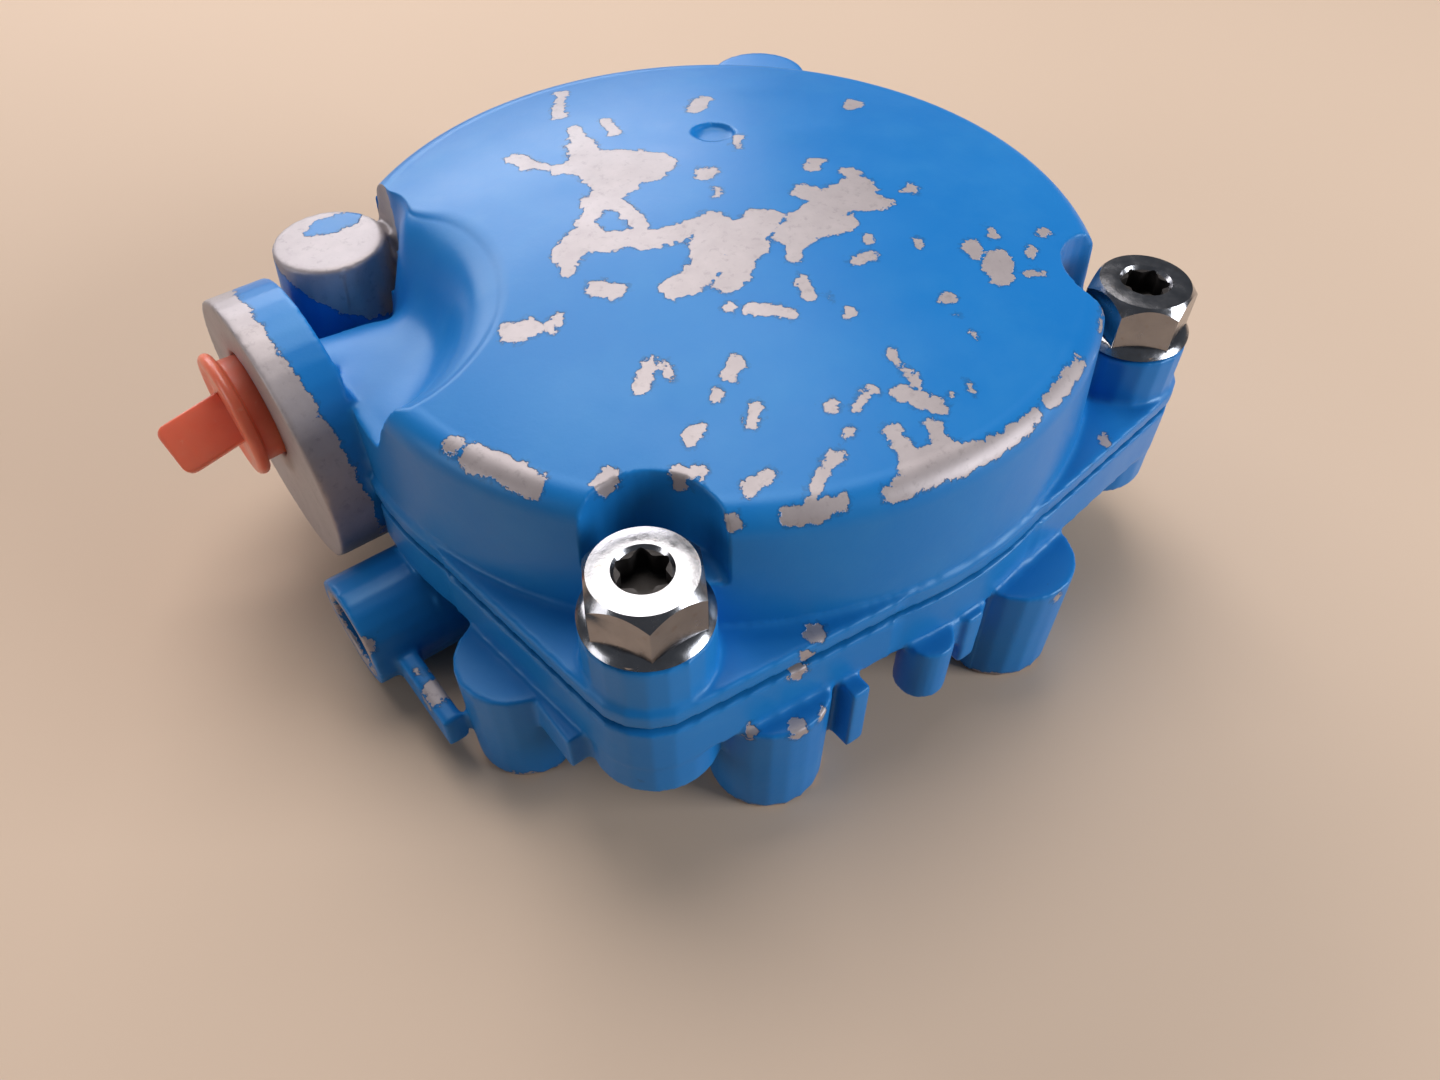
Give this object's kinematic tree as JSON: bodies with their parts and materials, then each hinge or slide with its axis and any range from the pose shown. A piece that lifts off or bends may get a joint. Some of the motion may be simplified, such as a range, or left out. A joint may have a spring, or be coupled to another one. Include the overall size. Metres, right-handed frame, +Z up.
{
  "type": "rotary pneumatic actuator",
  "caption": "Single-vane rotary pneumatic actuator: blue two-part die-cast housing with a domed cover, air ports, flanged screws, feet and a flatted output shaft underneath.",
  "frame": {"origin": "on the output shaft's axis, at the centre of its flat drive end, level with the undersides of the feet", "axes": "+Z up along the output shaft towards the domed cover; -X is the way the air ports point; +Y completes a right-handed frame"},
  "size_m": [0.1357, 0.1216, 0.052],
  "materials": {
    "blue_casting": "die-cast aluminium with semi-gloss blue paint, chipped to bare metal",
    "gasket_fibre": "dark fibre gasket",
    "plated_steel": "bright zinc plating",
    "ground_steel": "ground steel",
    "bare_aluminium": "machined bare aluminium",
    "bronze": "sintered bronze",
    "black_rubber": "moulded black rubber",
    "orange_plastic": "slightly translucent soft polyethylene"
  },
  "bodies": {
    "housing": {"upper_housing": "blue_casting", "lower_housing": "blue_casting", "housing_gasket": "gasket_fibre", "cover_screw_front": "plated_steel", "cover_screw_right": "plated_steel", "corner_screw_left": "plated_steel", "corner_screw_back": "plated_steel", "dowel_pin_1": "ground_steel", "dowel_pin_2": "ground_steel", "stator_shoe": "bare_aluminium", "shoe_seal": "black_rubber", "end_stop_bumper": "black_rubber", "rest_stop_bumper": "black_rubber", "shoe_screw_1": "ground_steel", "shoe_screw_2": "ground_steel", "upper_bush": "bronze", "lower_bush": "bronze", "shaft_seal": "black_rubber", "seal_retaining_ring": "ground_steel"},
    "rotor": {"output_shaft": "ground_steel", "vane_rotor": "bare_aluminium", "rotor_key": "ground_steel", "rotor_set_screw": "ground_steel", "vane_seal": "black_rubber", "vane_clamp_plate": "bare_aluminium", "vane_screw_1": "ground_steel", "vane_screw_2": "ground_steel", "lower_thrust_washer": "bronze", "upper_thrust_washer": "bronze"},
    "plug": {"port_plug": "orange_plastic"}
  },
  "joints": [
    {"name": "output_rotation", "type": "hinge", "parent": "housing", "child": "rotor", "pos_m": [0, 0, 0], "axis": [0, 0, 1], "range_deg": [0, 270]},
    {"name": "plug_pull", "type": "slide", "parent": "housing", "child": "plug", "axis": [-1, 0, 0], "range_m": [0, 0.03]}
  ]
}
